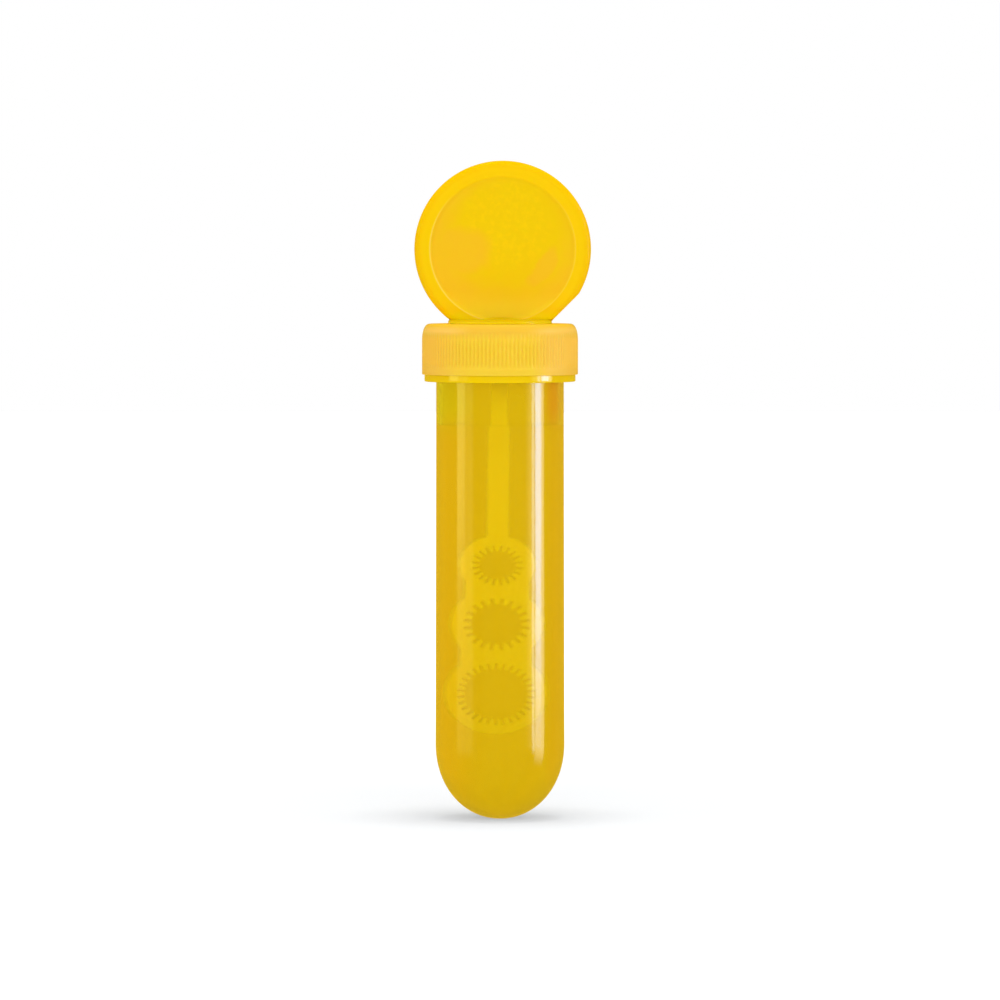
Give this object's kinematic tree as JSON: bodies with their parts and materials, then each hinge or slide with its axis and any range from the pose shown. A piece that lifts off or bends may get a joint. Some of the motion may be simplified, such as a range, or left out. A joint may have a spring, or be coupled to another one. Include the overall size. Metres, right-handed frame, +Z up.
{
  "type": "bubble blower",
  "caption": "Clear round-bottomed tube with a ribbed screw cap, a round handle and a hanging wand of toothed rings, for blowing soap bubbles.",
  "frame": {"origin": "centre of the small flat at the tip of the tube's dome, which it stands on", "axes": "+Z up along the tube's axis, -Y towards the viewer, square to the handle and the rings"},
  "size_m": [0.0373, 0.033, 0.1393],
  "materials": {
    "clear_tube": "clear yellow, polished",
    "satin_cap": "satin, moulded yellow",
    "white_washer": "soft foam, matt",
    "gloss_handle": "translucent yellow, glossy",
    "wand_plastic": "yellow, smooth"
  },
  "bodies": {
    "tube": {"tube": "clear_tube"},
    "washer": {"seal_ring": "white_washer"},
    "cap": {"screw_cap": "satin_cap"},
    "wand": {"handle_disc": "gloss_handle", "ring_wand": "wand_plastic"}
  },
  "joints": [
    {"name": "cap_rise", "type": "slide", "parent": "tube", "child": "washer", "axis": [0, 0, 1], "range_m": [0, 0.0034]},
    {"name": "cap_turn", "type": "hinge", "parent": "washer", "child": "cap", "pos_m": [0, 0, 0.0944], "axis": [0, 0, 1], "range_deg": [0, 400]},
    {"name": "wand_pull", "type": "slide", "parent": "cap", "child": "wand", "axis": [0, 0, 1], "range_m": [0, 0.095]}
  ],
  "couplings": [
    {"joint": "cap_rise", "follows": "cap_turn", "m_per_rad": 0.00047746}
  ]
}
